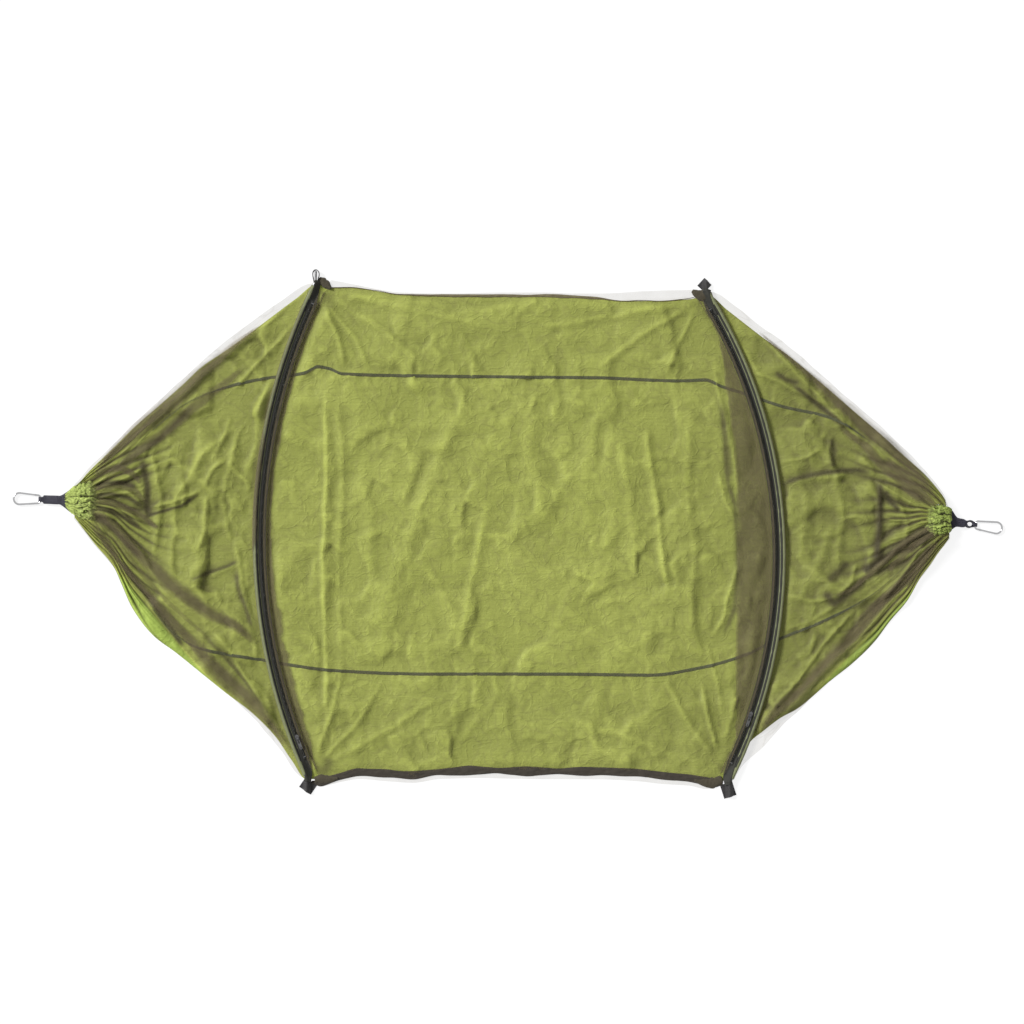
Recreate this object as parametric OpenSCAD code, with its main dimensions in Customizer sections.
// Two-person camping hammock with a zip-on insect net carried by two bowed poles.
// It is laid out flat: the bed rests on the ground plane and both poles are folded
// down towards the gathered ends. X runs along the sleeping length with left at -X,
// rear is +Y, Z is up, and the origin is on the ground under the middle of the bed.

/* [Bed] */
// Distance from one gathered hem to the other, along X
bed_len = 2546; // [2500:2:2600]
// Sideways place of the left gathered hem
gather_y_left = 95; // [60:1:120]
// Sideways place of the right gathered hem
gather_y_right = 38; // [0:1:80]
// Distance of the rear seam from the middle line
seam_rear = 464; // [420:1:500]
// Distance of the front seam from the middle line
seam_front = 418; // [380:1:460]
// Outward bow of the four slanting edges
edge_bow = 105; // [60:1:120]
// Inward bow of the long edges between the poles
edge_scoop = 62; // [30:1:80]
// Thickness of the lying bed cloth, slack included
bed_t = 2.4; // [1.6:0.1:2.6]
// Width of a sewn seam
seam_w = 9; // [6:0.5:12]

/* [Net] */
// Thickness of the lying net, slack included
net_t = 1.0; // [0.6:0.1:1.2]
// How far the net reaches past the bed on the slanting edges
net_over = 26; // [10:1:40]
// Width of the hem that joins the net to the long edges
hem_w = 24; // [16:1:30]

/* [Poles] */
// Arc length of one bowed pole
pole_len = 1525; // [1515:1:1535]
// Pole diameter
pole_d = 8.5; // [7:0.5:9]
// Half of the angle that the left pole bends through
bend_left = 25.6; // [25:0.1:26.5]
// Half of the angle that the right pole bends through
bend_right = 29.5; // [28.8:0.1:30]
// Height of the line that the poles fold about
fold_z = 12; // [12:0.1:14]
// Diameter of the straight pin on each pole tip
tip_d = 6; // [5:0.2:6.4]
// Length of the straight pin on each pole tip
tip_len = 30; // [24:1:32]
// Outer diameter of the cloth sleeve around the pole
sleeve_d = 14; // [13.4:0.1:14]

/* [Zipper] */
// Distance of the zipper line from the pole line
zip_off = 20.5; // [20:0.1:24]
// Full width of the closed zipper
zip_w = 25; // [22:0.5:25]
// Diameter of one coil row
coil_d = 3; // [2.6:0.1:3.2]
// Where the sliders stand along the arc, in degrees from its middle
slider_at = -21.5; // [-22:0.1:10]
// Length of the pull tab
pull_len = 34; // [24:1:36]

/* [Ends] */
// Width of the ruffled hem at each end
hem_bundle_w = 100; // [90:1:110]
// Height of the ruffled hem at each end
hem_bundle_h = 46; // [40:1:48]
// Length of the ruffled hem channel
hem_bundle_l = 46; // [40:1:50]
// Diameter of the rolled webbing inside the channel
cord_d = 14; // [10:0.5:16]
// Reach of the left strap from channel to eye
strap_left = 128; // [110:1:140]
// Reach of the right strap from channel to eye
strap_right = 105; // [102:1:130]
// Swing of the left strap away from the X direction, in degrees
yaw_left = 2; // [-6:0.5:6]
// Swing of the right strap away from the X direction, in degrees
yaw_right = -8; // [-12:0.5:6]
// Webbing width
web_w = 25; // [20:1:28]
// Thickness of the doubled webbing
web_t = 4; // [3:0.2:5]

/* [Snap hooks] */
// Wire diameter of the snap hook
wire_d = 7; // [6:0.1:7]
// Bend radius of the wide end
hook_r = 17; // [16:0.5:18]
// Distance between the wide bend centre and the narrow end
hook_reach = 62; // [58:1:70]

/* [Corner tabs] */
// Width of a corner tab
tab_w = 40; // [34:1:44]
// Length of a corner tab
tab_l = 35; // [34:1:38]

/* [Hidden] */

// colours
lime = [0.58, 0.63, 0.29];
lime_light = [0.66, 0.78, 0.33];
net_brown = [0.40, 0.37, 0.26];
net_alpha = 0.5;
hem_brown = [0.31, 0.28, 0.25];
sage = [0.53, 0.60, 0.43];
coal = [0.15, 0.15, 0.13];
pole_grey = [0.2, 0.2, 0.2];
navy = [0.17, 0.16, 0.22];
steel = [0.80, 0.80, 0.80];
pin_grey = [0.6, 0.6, 0.6];
spring_grey = [0.5, 0.5, 0.5];
thread_dark = [0.25, 0.29, 0.20];
thread_light = [0.45, 0.44, 0.52];

// signs: side of the hammock, long edge, and edge of the zipper arc
LEFT = -1;
RIGHT = 1;
FRONT = -1;
REAR = 1;
INNER = -1;
OUTER = 1;
function by_side(side, left, right) = side < 0 ? left : right;

// layer heights
seam_z = bed_t + 0.1;
seam_t = 0.8;
net_z = seam_z + seam_t + 0.2;

// ---- side frames ----
// One side is worked out in its own frame: x points outward from the fold line of its
// pole, y runs along that line to the rear, and z is measured from it.
fold_mid_left = [-595, 8];
fold_mid_right = [612, -10];
skew_left = -1; // degrees between the fold line and Y
skew_right = 2.66;
function fold_mid(side) = by_side(side, fold_mid_left, fold_mid_right);
function skew(side) = by_side(side, skew_left, skew_right);
function turn(p, a) = [p[0] * cos(a) - p[1] * sin(a), p[0] * sin(a) + p[1] * cos(a)];
// a point of one side's own frame, in the frame of the whole hammock
function out_of_side(side, x, y) = fold_mid(side) + turn([side * x, y], skew(side));

module side_frame(side) {
    translate([fold_mid(side)[0], fold_mid(side)[1], fold_z])
        rotate([0, 0, skew(side)])
            face_side(side) children();
}
module face_side(side) {
    if (side < 0) mirror([1, 0, 0]) children();
    else children();
}

// pole and zipper arcs, both about one centre on the x axis of the side frame
function bend(side) = by_side(side, bend_left, bend_right);
function pole_r(side) = pole_len / 2 / (bend(side) * PI / 180);
function half_chord(side) = pole_r(side) * sin(bend(side));
function centre_x(side) = -pole_r(side) * cos(bend(side));
function zip_r(side) = pole_r(side) - zip_off;

// ---- curves in plan ----
function bez(start, control, end, steps = 10) = [for (i = [0:steps]) let (t = i / steps)
    (1 - t) * (1 - t) * start + 2 * t * (1 - t) * control + t * t * end];
function rev(points) = [for (i = [len(points) - 1:-1:0]) points[i]];
function tail(points) = [for (i = [1:len(points) - 1]) points[i]];
function shift_y(points, dy) = [for (p = points) p + [0, dy]];
function flip_y(points) = [for (p = points) [p[0], -p[1]]];
// the control point that stands off the middle of a line, to its left as it runs
function bowed(start, end, bow) = let (d = end - start, normal = [-d[1], d[0]] / norm(d))
    (start + end) / 2 + normal * bow;
// a curve between two points, its control point moved by dy
function long_edge(start, end, dy) = bez(start, (start + end) / 2 + [0, dy], end, 12);

// ---- shared shapes ----
module slab(points, z, t) {
    translate([0, 0, z]) linear_extrude(t) polygon(points);
}
// a flat strip on the bed, centred on a line in plan
module strip(line, width) {
    slab(concat(shift_y(line, width / 2), rev(shift_y(line, -width / 2))), seam_z, seam_t);
}
// a box standing on a point, centred on it in x and y
module block(size, at) {
    translate(at - [size[0] / 2, size[1] / 2, 0]) cube(size);
}
// a box that starts at x, centred on the x axis
module beam(x, size) {
    translate([x, -size[1] / 2, -size[2] / 2]) cube(size);
}
// turns something upright to lie along x or y
module along_x() {
    rotate([0, 90, 0]) children();
}
module along_y() {
    rotate([90, 0, 0]) children();
}

// ---- bed ----
corner_inset = 2; // bed corner to the end of the pole chord
hem_in = hem_bundle_l / 2 + 0.4; // hem middle to the end of the cloth
neck = hem_bundle_w / 2 - 6; // half width of the cloth at the hem
panel_gap = 0.1; // from a seam line to the panel on either side
function gather(side) = [side * bed_len / 2, by_side(side, gather_y_left, gather_y_right)];
function bed_end(side) = gather(side) - [side * hem_in, 0];
function corner(side, edge) = out_of_side(side, 0, edge * (half_chord(side) - corner_inset));

// outline of the rear or front half, left to right
function bed_edge(edge) = let (
    start = bed_end(LEFT) + [0, edge * neck],
    corner_l = corner(LEFT, edge),
    corner_r = corner(RIGHT, edge),
    end = bed_end(RIGHT) + [0, edge * neck])
    concat(
        bez(start, bowed(start, corner_l, edge * edge_bow), corner_l),
        tail(bez(corner_l, (corner_l + corner_r) / 2 - [0, edge * edge_scoop], corner_r)),
        tail(bez(corner_r, bowed(corner_r, end, edge * edge_bow), end)));

// Points that shape a seam line: [x, share of the seam distance]. The line passes
// through the second and fourth, and the others are curve controls.
seam_stations = [[-1010, 0.93], [-560, 1.01], [0, 1], [560, 0.97], [1000, 0.75]];
// seam line, left to right, drawn in towards the hems
function seam_line(edge) = let (
    seam_y = edge > 0 ? seam_rear : -seam_front,
    p = [for (station = seam_stations) [station[0], seam_y * station[1]]],
    at_hem = [0, edge * neck / 3])
    concat(
        bez(bed_end(LEFT) + at_hem, p[0], p[1]),
        tail(bez(p[1], p[2], p[3])),
        tail(bez(p[3], p[4], bed_end(RIGHT) + at_hem)));

module bed_center_panel() {
    color(lime) slab(concat(shift_y(seam_line(REAR), -panel_gap),
        rev(shift_y(seam_line(FRONT), panel_gap))), 0, bed_t);
}
module bed_side_panel(edge) {
    color(lime) slab(concat(bed_edge(edge),
        rev(shift_y(seam_line(edge), edge * panel_gap))), 0, bed_t);
}
// stitched seam: a narrow strip that follows the line where two panels meet
module seam_thread(edge) {
    color(thread_dark) strip(seam_line(edge), seam_w);
}

// ---- gathered hems ----
pleats = 22;
pleat_depth = 0.045; // half depth of a pleat, as a share of the radius
oval_power = 0.72; // below 1 squares the oval up
cord_gap = 0.1;
function heading(side) = by_side(side, 180 - yaw_left, yaw_right);
function oval(size, c) = size / 2 * sign(c) * pow(abs(c), oval_power);
// long oval with a pleated edge, height along x and six points to a pleat
function hem_outline() = let (n = 6 * pleats)
    [for (i = [0:n - 1]) let (a = 360 * i / n, pleat = 1 - pleat_depth * (1 - cos(pleats * a)))
        pleat * [oval(hem_bundle_h, cos(a)), oval(hem_bundle_w, sin(a))]];
// ruffled hem: the end of the bed cloth bunched up on the webbing, with the channel
// that the webbing runs through
module gathered_hem(side) {
    color(lime_light) translate([gather(side)[0], gather(side)[1], hem_bundle_h / 2])
        difference() {
            along_x() linear_extrude(hem_bundle_l, center = true) polygon(hem_outline());
            rotate([0, 0, heading(side)]) along_y()
                cylinder(r = cord_d / 2 + cord_gap, h = hem_bundle_w + 40, center = true, $fn = 48);
        }
}

// ---- net ----
zip_steps = 24;
zip_trim = 0.2; // degrees that the net's zipper edge stops short of the pole's bend
net_gap = 0.3; // from the zipper line to the net on either side
net_scoop = edge_scoop - 20;
net_neck = neck - 6; // half width of the net at the hem
// the zipper line in plan, front to rear, moved outward by offset
function zip_line(side, offset) = [for (i = [0:zip_steps])
    let (a = -bend(side) + zip_trim + 2 * (bend(side) - zip_trim) * i / zip_steps,
        r = zip_r(side) + offset)
    out_of_side(side, centre_x(side) + r * cos(a), r * sin(a))];

module net_center_panel() {
    left = zip_line(LEFT, -net_gap);
    right = zip_line(RIGHT, -net_gap);
    color(net_brown, net_alpha) slab(concat(
        rev(long_edge(left[zip_steps], right[zip_steps], -net_scoop)),
        tail(rev(left)),
        tail(long_edge(left[0], right[0], net_scoop)),
        tail(right)), net_z, net_t);
}
module net_end_panel(side) {
    zip = zip_line(side, net_gap);
    zip_front = zip[0];
    zip_rear = zip[zip_steps];
    end_rear = bed_end(side) + [0, net_neck];
    end_front = bed_end(side) - [0, net_neck];
    bow = side * (edge_bow + net_over);
    color(net_brown, net_alpha) slab(concat(zip,
        tail(bez(zip_rear, bowed(zip_rear, end_rear, bow), end_rear)),
        bez(end_front, bowed(zip_front, end_front, -bow), zip_front)), net_z, net_t);
}

hem_end_x = -24; // hem ends in the side frames
hem_end_inset = 12;
hem_scoop = edge_scoop - 34;
function hem_end(side, edge) =
    out_of_side(side, hem_end_x, edge * (half_chord(side) - hem_end_inset));
// doubled hem along a long edge
module net_hem(edge) {
    color(hem_brown)
        strip(long_edge(hem_end(LEFT, edge), hem_end(RIGHT, edge), -edge * hem_scoop), hem_w);
}

// ---- corner tabs ----
tab_off = 6; // from the end of the pole chord to the tab
tab_over_pin = 2.5;
pocket_play = 0.12; // on the diameter
// folded webbing with a round pocket for the pole tip
module corner_tab(side, edge) {
    tab_y = edge * (half_chord(side) + tab_off + tab_l / 2);
    color(coal) side_frame(side) difference() {
        block([tab_w, tab_l, fold_z + tip_d / 2 + tab_over_pin], [0, tab_y, -fold_z]);
        translate([0, tab_y, 0]) along_y()
            cylinder(d = tip_d + pocket_play, h = tab_l + 2, center = true, $fn = 48);
    }
}

// ---- poles ----
pole_trim = 0.26; // degrees taken off each end
sleeve_trim = 0.5;
sleeve_bore_d = pole_d + 3.2;
cup_r = pole_d / 2 + 0.9;
cup_bore_r = pole_d / 2 + 0.3;
cup_len = 29;
cup_bore_len = 22;
cup_x = -0.12; // cup axis, along the radius of the pole
cup_y = 11.5; // cup and bore middles, back along the pole from its end
cup_bore_y = 17;
pin_root = 3; // how far the pin starts inside the chord end
pin_extra = 1; // how far it reaches past its length

// sweeps a flat section about the pole's centre, from -half_angle to half_angle
module along_arc(side, half_angle) {
    translate([centre_x(side), 0, 0]) rotate([0, 0, -half_angle])
        rotate_extrude(angle = 2 * half_angle, $fn = 720) children();
}
module pole(side) {
    color(pole_grey) side_frame(side)
        along_arc(side, bend(side) - pole_trim)
            translate([pole_r(side), 0]) circle(d = pole_d, $fn = 24);
}
// a rod in line with one end of the pole, its middle set back from that end
module pole_end_rod(side, edge, back, radius, length) {
    rotate([0, 0, edge * bend(side)]) translate([cup_x, -edge * back, 0]) along_y()
        cylinder(r = radius, h = length, center = true, $fn = 40);
}
// metal ferrule on each end: a cup over the pole, closed at its end, and the straight
// pin that turns in the pocket of the corner tab
module pole_tips(side) {
    color(steel) side_frame(side)
        for (edge = [FRONT, REAR]) translate([0, edge * half_chord(side), 0]) difference() {
            union() {
                pole_end_rod(side, edge, cup_y, cup_r, cup_len);
                translate([0, edge * (tip_len + pin_extra - pin_root) / 2, 0]) along_y()
                    cylinder(d = tip_d, h = tip_len + pin_extra + pin_root, center = true,
                        $fn = 48);
            }
            pole_end_rod(side, edge, cup_bore_y, cup_bore_r, cup_bore_len);
        }
}
module pole_sleeve(side) {
    color(sage) side_frame(side)
        along_arc(side, bend(side) - sleeve_trim) translate([pole_r(side), 0]) difference() {
            circle(d = sleeve_d, $fn = 32);
            circle(d = sleeve_bore_d, $fn = 32);
        }
}

// ---- zipper ----
zip_gap = 0.6; // from the zipper line to each tape and coil
zip_past_fold = 7;
tape_z = -1;
tape_t = 0.8;
coil_z = -0.1; // underside of the coils
stop_size = [8, 3, coil_d];
// the zipper stops where its inner edge reaches zip_past_fold inside the fold line
function tape_half(side) =
    acos((-centre_x(side) - zip_past_fold) / (zip_r(side) - zip_w / 2));
function coil_half(side) = tape_half(side) - 0.35;
function stop_angle(side) = coil_half(side) + 0.08;

module zipper_tape(side, row) {
    color(coal) side_frame(side) along_arc(side, tape_half(side))
        translate([zip_r(side) + (row > 0 ? zip_gap : -zip_w / 2), tape_z])
            square([zip_w / 2 - zip_gap, tape_t]);
}
module zipper_coil(side, row) {
    color(coal) side_frame(side) along_arc(side, coil_half(side))
        translate([zip_r(side) + row * (coil_d / 2 + zip_gap), coil_d / 2 + coil_z])
            circle(d = coil_d, $fn = 20);
}
// a clamp past each end of the coils keeps the slider on
module zipper_stops(side) {
    color(steel) side_frame(side) for (edge = [FRONT, REAR])
        translate([centre_x(side), 0, 0]) rotate([0, 0, edge * stop_angle(side)])
            block(stop_size, [zip_r(side), 0, coil_z]);
}

// Slider frame: x runs out along the radius, y along the zipper
slider_w = 11.2;
slider_l = 12; // straight part, before the round nose
slider_t = 1.2; // plates, side walls and lugs
slider_under = -2.6;
slider_top = coil_d + 0.1;
wall_x = (slider_w - slider_t) / 2;
lug_x = 4.1;
slider_pin_z = slider_top + 3.5;
slider_pin_r = 1;
module at_slider(side) {
    side_frame(side) translate([centre_x(side), 0, 0]) rotate([0, 0, slider_at])
        translate([zip_r(side), 0, 0]) children();
}
// the slider rides over and under the tapes, joined by a thin web between the coils;
// two lugs on top carry the cross pin
module zipper_slider(side) {
    color(steel) at_slider(side) {
        for (z = [slider_under, slider_top]) {
            block([slider_w, slider_l, slider_t], [0, 0, z]);
            translate([0, slider_l / 2, z]) cylinder(r = slider_w / 2, h = slider_t, $fn = 40);
        }
        for (row = [INNER, OUTER]) {
            block([slider_t, slider_l, slider_top + 0.5], [row * wall_x, 0, 0.05]);
            block([slider_t, 4, 4.6], [row * lug_x, 0, slider_top + 0.6]);
        }
        block([0.8, 8, slider_top + 2.5], [0, 0, -2]);
        translate([0, 0, slider_pin_z]) along_x()
            cylinder(r = slider_pin_r, h = 9, center = true, $fn = 24);
    }
}

pull_r = 4.5; // round end, and half the width of the plate
pull_t = 1.4;
pull_end_y = pull_r - pull_len;
pull_neck = [6, 7, pull_t];
pull_window = [4, 7, 4];
pull_window_y = -16;
// pull tab: a plate with a window and a round hole, turning on the slider's cross pin
module zipper_pull(side) {
    color(coal) at_slider(side) translate([0, 0, slider_pin_z]) difference() {
        union() {
            along_x() cylinder(r = 2, h = 6.4, center = true, $fn = 32);
            translate([-pull_neck[0] / 2, -pull_neck[1], -pull_t / 2]) cube(pull_neck);
            translate([-pull_r, pull_end_y, -pull_t / 2])
                cube([2 * pull_r, pull_len - 10, pull_t]);
            translate([0, pull_end_y, -pull_t / 2]) cylinder(r = pull_r, h = pull_t, $fn = 40);
        }
        along_x() cylinder(r = slider_pin_r + 0.06, h = 12, center = true, $fn = 24);
        translate([-pull_window[0] / 2, pull_window_y, -2]) cube(pull_window);
        translate([0, pull_end_y, -2]) cylinder(r = 2, h = 4, $fn = 24);
    }
}

// ---- end straps ----
wire_r = wire_d / 2;
eye_r = wire_r + 0.1;
eye_out = eye_r + 2.2;
eye_z = eye_out; // the eye rests on the ground
eye_w = 12;
chan_z = hem_bundle_h / 2;
leg_out = hem_bundle_w / 2 + 11; // outer and inner edge of each leg beside the hem
leg_in = hem_bundle_w / 2 + 4;
leg_back = -4;
function strap_len(side) = by_side(side, strap_left, strap_right);
function strap_drop(side) = asin((chan_z - eye_z) / strap_len(side));
// x runs from the channel down to the eye
module strap_frame(side) {
    translate([gather(side)[0], gather(side)[1], chan_z]) rotate([0, 0, heading(side)])
        rotate([0, strap_drop(side), 0]) children();
}
// the webbing in plan: half outlines of the outside and of the opening, then mirrored
function strap_outline(reach) = let (
    outside = [[leg_back, leg_out], [38, leg_out], [68, web_w / 2],
        [reach - 26, web_w / 2], [reach - 12, eye_w / 2], [reach, eye_w / 2]],
    opening = [[leg_back, leg_in], [34, leg_in], [60, 6]])
    concat(outside, rev(flip_y(outside)), flip_y(opening), rev(opening));
// one closed loop of webbing: through the channel, both legs meeting beyond the
// hem, doubled up to the eye that holds the snap hook
module strap_webbing(side) {
    reach = strap_len(side);
    color(navy) strap_frame(side) {
        along_y() cylinder(d = cord_d, h = 2 * leg_out, center = true, $fn = 48);
        difference() {
            union() {
                translate([0, 0, -web_t / 2]) linear_extrude(web_t)
                    polygon(strap_outline(reach));
                translate([reach, 0, 0]) along_y()
                    cylinder(r = eye_out, h = eye_w, center = true, $fn = 48);
            }
            translate([reach, 0, 0]) along_y()
                cylinder(r = eye_r, h = eye_w + 2, center = true, $fn = 48);
        }
    }
}

tack_rows = 6;
tack_x = 63;
tack_pitch = 2.6;
tack_margin = 2.5;
// bar tacks: rows of thread across the doubled webbing
module bar_tack(side) {
    color(thread_light) strap_frame(side) for (i = [0:tack_rows - 1])
        translate([tack_x + i * tack_pitch, -web_w / 2 + tack_margin, web_t / 2 + 0.05])
            cube([1.2, web_w - 2 * tack_margin, 0.5]);
}

// ---- snap hooks ----
// narrow end: a straight run through the webbing eye with a small bend each side;
// wide end: one large bend; the gate closes the side between them
narrow_r = 7;
narrow_y = 5; // half of the straight run
side_a = acos((narrow_r - hook_r) / norm([hook_reach - narrow_r, -narrow_y]))
    + atan2(-narrow_y, hook_reach - narrow_r); // where the bends meet the straight sides
side_start = [narrow_r + narrow_r * cos(side_a), narrow_y + narrow_r * sin(side_a)];
side_end = [hook_reach + hook_r * cos(side_a), hook_r * sin(side_a)];
side_l = norm(side_end - side_start);
gate_a = atan2(-(side_end - side_start)[1], (side_end - side_start)[0]);
gate_r = wire_r - 0.3;
pivot_in = 8; // pivot, from the narrow end of the gate side
gate_l = side_l - pivot_in - 0.7;
pivot_hole_r = 1.3;
lug_l = 4.6;
lug_t = 3;
nose_t = 2;
bend_overlap = 0.3;

// x points away from the strap, with the eye at the origin
module hook_frame(side) {
    translate([gather(side)[0], gather(side)[1], chan_z]) rotate([0, 0, heading(side)])
        translate([strap_len(side) * cos(strap_drop(side)), 0, eye_z - chan_z]) children();
}
// x runs along the gate from its pivot
module gate_frame() {
    translate([side_start[0], -side_start[1], 0]) rotate([0, 0, gate_a])
        translate([pivot_in, 0, 0]) children();
}
// the bends are drawn a hair thinner than the straights and run a little way into them
module bend_wire(centre, radius, from, to) {
    extra = bend_overlap / radius * 180 / PI;
    translate([centre[0], centre[1], 0]) rotate([0, 0, from - extra])
        rotate_extrude(angle = to - from + 2 * extra, $fn = 96)
            translate([radius, 0]) circle(r = wire_r - 0.05, $fn = 32);
}
module snap_hook_body(side) {
    color(steel) hook_frame(side) {
        along_y() cylinder(r = wire_r, h = 2 * narrow_y, center = true, $fn = 48);
        bend_wire([narrow_r, narrow_y], narrow_r, side_a, 180);
        bend_wire([narrow_r, -narrow_y], narrow_r, 180, 360 - side_a);
        translate([side_start[0], side_start[1], 0]) rotate([0, 0, -gate_a]) along_x()
            cylinder(r = wire_r, h = side_l, $fn = 32);
        bend_wire([hook_reach, 0], hook_r, -side_a, side_a);
        // stub of wire with the flat lug that the gate turns on
        gate_frame() difference() {
            union() {
                translate([-pivot_in, 0, 0]) along_x()
                    cylinder(r = wire_r, h = pivot_in - 4.2, $fn = 32);
                beam(-lug_l, [lug_l, 5.2, lug_t]);
                cylinder(r = 3, h = lug_t, center = true, $fn = 32);
            }
            cylinder(r = pivot_hole_r, h = 10, center = true, $fn = 32);
        }
        // nose tab that locates the gate tip
        gate_frame() beam(gate_l - 3.4, [4.2, 4, nose_t]);
    }
}
// hollow gate, slotted for the lug at its pivot and for the nose tab at its tip
module snap_hook_gate(side) {
    color(steel) hook_frame(side) gate_frame() difference() {
        union() {
            along_x() cylinder(r = gate_r, h = gate_l, $fn = 32);
            cylinder(r = gate_r, h = 2 * gate_r, center = true, $fn = 32);
        }
        beam(-6, [9.6, 12, lug_t + 0.2]);
        cylinder(r = pivot_hole_r, h = 12, center = true, $fn = 32);
        translate([3.5, 0, 0]) along_x() cylinder(r = 2, h = 16, $fn = 32);
        beam(gate_l - 4, [6, 12, nose_t + 0.3]);
    }
}
// pivot pin with a flat head at each end
module snap_hook_pin(side) {
    color(pin_grey) hook_frame(side) gate_frame() {
        cylinder(r = pivot_hole_r - 0.04, h = 2 * gate_r + 0.8, center = true, $fn = 32);
        for (z = [gate_r + 0.05, -gate_r - 0.65])
            translate([0, 0, z]) cylinder(r = 2.1, h = 0.6, $fn = 32);
    }
}

spring_turns = 12;
spring_x = 4.4;
spring_pitch = 1.1;
// the spring that closes the gate sits in the hollow of the gate, drawn as rings
module snap_hook_spring(side) {
    color(spring_grey) hook_frame(side) gate_frame() for (i = [0:spring_turns - 1])
        translate([spring_x + i * spring_pitch, 0, 0]) along_x()
            rotate_extrude($fn = 32) translate([1.35, 0]) circle(r = 0.58, $fn = 16);
}

bed_center_panel();
bed_side_panel(REAR);  // bed_rear_panel
bed_side_panel(FRONT);  // bed_front_panel
seam_thread(REAR);  // seam_thread_rear
seam_thread(FRONT);  // seam_thread_front
gathered_hem(LEFT);  // gathered_hem_left
gathered_hem(RIGHT);  // gathered_hem_right
net_center_panel();
net_end_panel(LEFT);  // net_left_panel
net_end_panel(RIGHT);  // net_right_panel
net_hem(REAR);  // net_hem_rear
net_hem(FRONT);  // net_hem_front
corner_tab(LEFT, REAR);  // corner_tab_left_rear
corner_tab(LEFT, FRONT);  // corner_tab_left_front
corner_tab(RIGHT, REAR);  // corner_tab_right_rear
corner_tab(RIGHT, FRONT);  // corner_tab_right_front
pole(LEFT);  // pole_left
pole_tips(LEFT);  // pole_tips_left
pole_sleeve(LEFT);  // pole_sleeve_left
zipper_tape(LEFT, INNER);  // zipper_tape_inner_left
zipper_tape(LEFT, OUTER);  // zipper_tape_outer_left
zipper_coil(LEFT, INNER);  // zipper_coil_inner_left
zipper_coil(LEFT, OUTER);  // zipper_coil_outer_left
zipper_stops(LEFT);  // zipper_stops_left
zipper_slider(LEFT);  // zipper_slider_left
zipper_pull(LEFT);  // zipper_pull_left
pole(RIGHT);  // pole_right
pole_tips(RIGHT);  // pole_tips_right
pole_sleeve(RIGHT);  // pole_sleeve_right
zipper_tape(RIGHT, INNER);  // zipper_tape_inner_right
zipper_tape(RIGHT, OUTER);  // zipper_tape_outer_right
zipper_coil(RIGHT, INNER);  // zipper_coil_inner_right
zipper_coil(RIGHT, OUTER);  // zipper_coil_outer_right
zipper_stops(RIGHT);  // zipper_stops_right
zipper_slider(RIGHT);  // zipper_slider_right
zipper_pull(RIGHT);  // zipper_pull_right
strap_webbing(LEFT);  // strap_webbing_left
bar_tack(LEFT);  // bar_tack_left
snap_hook_body(LEFT);  // snap_hook_body_left
snap_hook_gate(LEFT);  // snap_hook_gate_left
snap_hook_pin(LEFT);  // snap_hook_pin_left
snap_hook_spring(LEFT);  // snap_hook_spring_left
strap_webbing(RIGHT);  // strap_webbing_right
bar_tack(RIGHT);  // bar_tack_right
snap_hook_body(RIGHT);  // snap_hook_body_right
snap_hook_gate(RIGHT);  // snap_hook_gate_right
snap_hook_pin(RIGHT);  // snap_hook_pin_right
snap_hook_spring(RIGHT);  // snap_hook_spring_right
